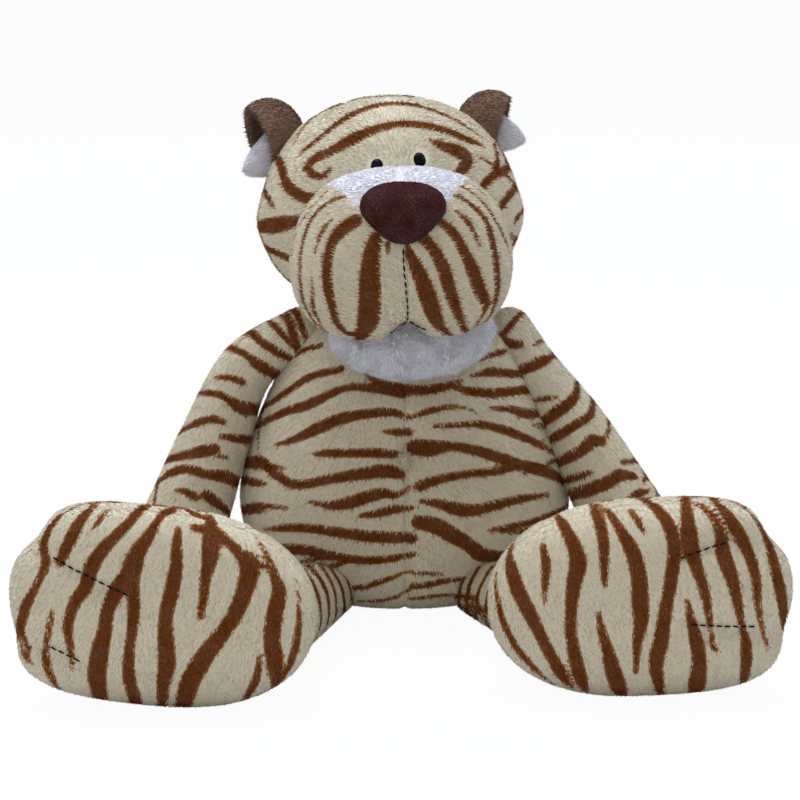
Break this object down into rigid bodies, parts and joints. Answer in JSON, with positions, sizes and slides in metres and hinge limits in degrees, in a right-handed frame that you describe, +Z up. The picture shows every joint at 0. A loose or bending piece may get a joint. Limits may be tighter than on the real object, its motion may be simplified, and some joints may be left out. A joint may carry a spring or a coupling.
{
  "type": "plush tiger",
  "caption": "Seated striped plush tiger with limp hinged arms, legs, feet and tail, a turning and nodding head, and folding ears.",
  "frame": {"origin": "middle of the seat, on the surface that the toy sits on", "axes": "+Z up, -Y the way the face looks, +X the toy's own left side"},
  "size_m": [0.4968, 0.438, 0.3592],
  "materials": {
    "striped_plush": "matte",
    "brown_plush": "matte",
    "white_plush": "matte",
    "nose_plush": "matte",
    "stuffing_fibre": "matte",
    "pellet_bag_cloth": "matte",
    "thread": "satin",
    "tack_thread": "matte",
    "eye_gloss": "gloss",
    "washer_plastic": "satin"
  },
  "bodies": {
    "torso": {"body_skin_left": "striped_plush", "body_skin_right": "striped_plush", "seat_panel": "striped_plush", "body_stuffing": "stuffing_fibre", "seat_pellet_bag": "pellet_bag_cloth", "belly_tack": "tack_thread"},
    "neck": {"neck_gather": "striped_plush"},
    "head": {"head_crown": "striped_plush", "head_side_left": "striped_plush", "head_side_right": "striped_plush", "head_stuffing": "stuffing_fibre", "muzzle_bridge": "white_plush", "muzzle_cheek_left": "striped_plush", "muzzle_cheek_right": "striped_plush", "muzzle_stuffing": "stuffing_fibre", "nose_pad": "nose_plush", "chin_skin": "white_plush", "chin_stuffing": "stuffing_fibre", "mouth_stitch": "thread", "lip_stitch_left": "thread", "lip_stitch_right": "thread", "eye_left": "eye_gloss", "eye_right": "eye_gloss", "eye_washer_left": "washer_plastic", "eye_washer_right": "washer_plastic"},
    "ear_left": {"ear_back_left": "brown_plush", "ear_lining_left": "white_plush"},
    "ear_right": {"ear_back_right": "brown_plush", "ear_lining_right": "white_plush"},
    "shoulder_left": {"shoulder_gather_left": "striped_plush"},
    "arm_left": {"arm_skin_left": "striped_plush", "arm_stuffing_left": "stuffing_fibre"},
    "shoulder_right": {"shoulder_gather_right": "striped_plush"},
    "arm_right": {"arm_skin_right": "striped_plush", "arm_stuffing_right": "stuffing_fibre"},
    "hip_left": {"hip_gather_left": "striped_plush"},
    "leg_left": {"leg_skin_left": "striped_plush", "leg_stuffing_left": "stuffing_fibre"},
    "foot_left": {"foot_sole_left": "striped_plush", "foot_upper_left": "striped_plush", "foot_stuffing_left": "stuffing_fibre", "toe_stitch_upper_left": "thread", "toe_stitch_lower_left": "thread"},
    "hip_right": {"hip_gather_right": "striped_plush"},
    "leg_right": {"leg_skin_right": "striped_plush", "leg_stuffing_right": "stuffing_fibre"},
    "foot_right": {"foot_sole_right": "striped_plush", "foot_upper_right": "striped_plush", "foot_stuffing_right": "stuffing_fibre", "toe_stitch_upper_right": "thread", "toe_stitch_lower_right": "thread"},
    "tail_root": {"tail_gather": "striped_plush"},
    "tail": {"tail_skin": "striped_plush", "tail_stuffing": "stuffing_fibre", "tail_tip": "brown_plush"}
  },
  "joints": [
    {"name": "neck_turn", "type": "hinge", "parent": "torso", "child": "neck", "pos_m": [-0.008, 0.002, 0.204], "axis": [0, 0, 1], "range_deg": [-25, 25], "stiffness_Nm_per_rad": 0.5},
    {"name": "neck_nod", "type": "hinge", "parent": "neck", "child": "head", "pos_m": [-0.008, 0.002, 0.204], "axis": [1, 0, 0], "range_deg": [-12, 6], "stiffness_Nm_per_rad": 2.5},
    {"name": "ear_fold_left", "type": "hinge", "parent": "head", "child": "ear_left", "pos_m": [0.05095, 0.0247, 0.31762], "axis": [0.0785, -0.9969, 0], "range_deg": [-20, 15], "stiffness_Nm_per_rad": 0.05},
    {"name": "ear_fold_right", "type": "hinge", "parent": "head", "child": "ear_right", "pos_m": [-0.0796, 0.01442, 0.3142], "axis": [-0.0785, 0.9969, 0], "range_deg": [-20, 15], "stiffness_Nm_per_rad": 0.05},
    {"name": "shoulder_swing_left", "type": "hinge", "parent": "torso", "child": "shoulder_left", "pos_m": [0.074, -0.002, 0.192], "axis": [-1, 0, 0], "range_deg": [-30, 30]},
    {"name": "shoulder_spread_left", "type": "hinge", "parent": "shoulder_left", "child": "arm_left", "pos_m": [0.074, -0.002, 0.192], "axis": [0, -1, 0], "range_deg": [0, 70]},
    {"name": "shoulder_swing_right", "type": "hinge", "parent": "torso", "child": "shoulder_right", "pos_m": [-0.074, -0.002, 0.192], "axis": [-1, 0, 0], "range_deg": [-30, 30]},
    {"name": "shoulder_spread_right", "type": "hinge", "parent": "shoulder_right", "child": "arm_right", "pos_m": [-0.074, -0.002, 0.192], "axis": [0, 1, 0], "range_deg": [0, 70]},
    {"name": "hip_splay_left", "type": "hinge", "parent": "torso", "child": "hip_left", "pos_m": [0.057, -0.06, 0.0265], "axis": [0, 0, 1], "range_deg": [-12, 20]},
    {"name": "hip_lift_left", "type": "hinge", "parent": "hip_left", "child": "leg_left", "pos_m": [0.057, -0.06, 0.0265], "axis": [1, 0, 0], "range_deg": [-12, 60]},
    {"name": "ankle_turn_left", "type": "hinge", "parent": "leg_left", "child": "foot_left", "pos_m": [0.103, -0.155, 0.031], "axis": [0, -1, 0], "range_deg": [-5, 80]},
    {"name": "hip_splay_right", "type": "hinge", "parent": "torso", "child": "hip_right", "pos_m": [-0.057, -0.06, 0.0265], "axis": [0, 0, -1], "range_deg": [-12, 20]},
    {"name": "hip_lift_right", "type": "hinge", "parent": "hip_right", "child": "leg_right", "pos_m": [-0.057, -0.06, 0.0265], "axis": [1, 0, 0], "range_deg": [-12, 60]},
    {"name": "ankle_turn_right", "type": "hinge", "parent": "leg_right", "child": "foot_right", "pos_m": [-0.095, -0.176, 0.031], "axis": [0, 1, 0], "range_deg": [-5, 80]},
    {"name": "tail_sway", "type": "hinge", "parent": "torso", "child": "tail_root", "pos_m": [0, 0.076, 0.03], "axis": [0, 0, 1], "range_deg": [-30, 30]},
    {"name": "tail_lift", "type": "hinge", "parent": "tail_root", "child": "tail", "pos_m": [0, 0.076, 0.03], "axis": [1, 0, 0], "range_deg": [-20, 45]}
  ]
}
